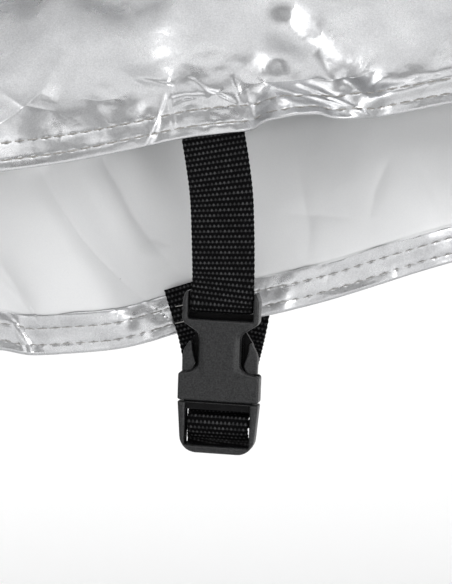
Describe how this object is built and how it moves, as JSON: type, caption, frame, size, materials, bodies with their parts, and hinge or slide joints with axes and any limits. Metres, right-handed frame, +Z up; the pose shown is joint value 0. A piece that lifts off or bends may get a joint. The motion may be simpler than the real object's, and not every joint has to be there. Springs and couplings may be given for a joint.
{
  "type": "motorcycle cover",
  "caption": "Fitted silver cloth cover in its draped form, open below, with hemmed sides joined by a black belly strap and a side-release buckle.",
  "frame": {"origin": "inside face of the cloth on the ridge, straight above the belly strap", "axes": "+X towards the cover's front, -Y the near side that the picture faces, +Z up"},
  "size_m": [2.3196, 0.8158, 1.1523],
  "materials": {
    "silver_cloth": "satin silver coating outside, pale grey inside",
    "black_webbing": "woven, matte",
    "grey_plastic": "moulded, fine grain"
  },
  "bodies": {
    "cover": {"side_panel_near": "silver_cloth", "side_panel_far": "silver_cloth", "strap_near": "black_webbing", "strap_far": "black_webbing", "buckle_body": "grey_plastic", "buckle_frame": "grey_plastic"},
    "arm_left": {"release_arm_left": "grey_plastic"},
    "arm_right": {"release_arm_right": "grey_plastic"}
  },
  "joints": [
    {"name": "release_left", "type": "hinge", "parent": "cover", "child": "arm_left", "pos_m": [-0.01214, -0.00412, -0.90315], "axis": [0.1757, 0.983, 0.0523], "range_deg": [0, 7], "stiffness_Nm_per_rad": 0.03},
    {"name": "release_right", "type": "hinge", "parent": "cover", "child": "arm_right", "pos_m": [0.01226, -0.00842, -0.90427], "axis": [-0.1757, -0.983, -0.0523], "range_deg": [0, 7], "stiffness_Nm_per_rad": 0.03}
  ]
}
